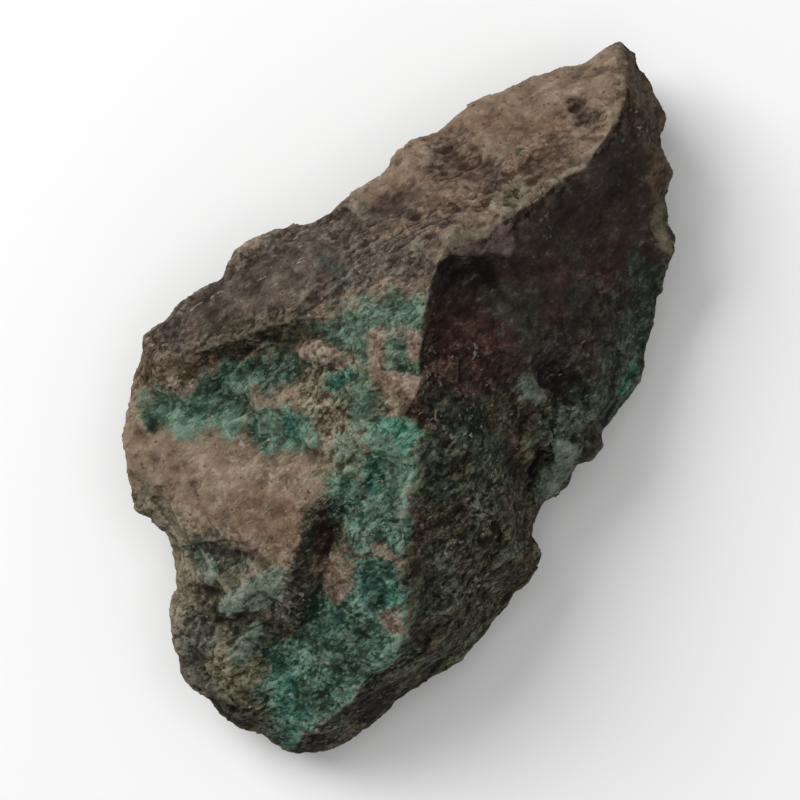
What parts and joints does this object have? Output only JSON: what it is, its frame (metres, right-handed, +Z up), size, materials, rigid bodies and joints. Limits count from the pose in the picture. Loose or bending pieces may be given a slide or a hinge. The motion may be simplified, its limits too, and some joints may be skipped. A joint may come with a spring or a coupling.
{
  "type": "chrysocolla specimen",
  "caption": "Hand-sized broken stone of copper ore lying on its flat underside, with a long crest, a shelf, a trough and a steep wall, and blue-green chrysocolla patches.",
  "frame": {"origin": "middle of the bounding box in plan, on the plane that the stone rests on", "axes": "+Z up from the table, +Y along the long side of the plan from the low tip towards the summit, +X to the right as seen from above, towards the dark side"},
  "size_m": [0.0884, 0.114, 0.0459],
  "materials": {
    "stone": "rough matt break, tan to purple-brown, with blue-green patches"
  },
  "bodies": {
    "root": {"stone": "stone"}
  },
  "joints": []
}
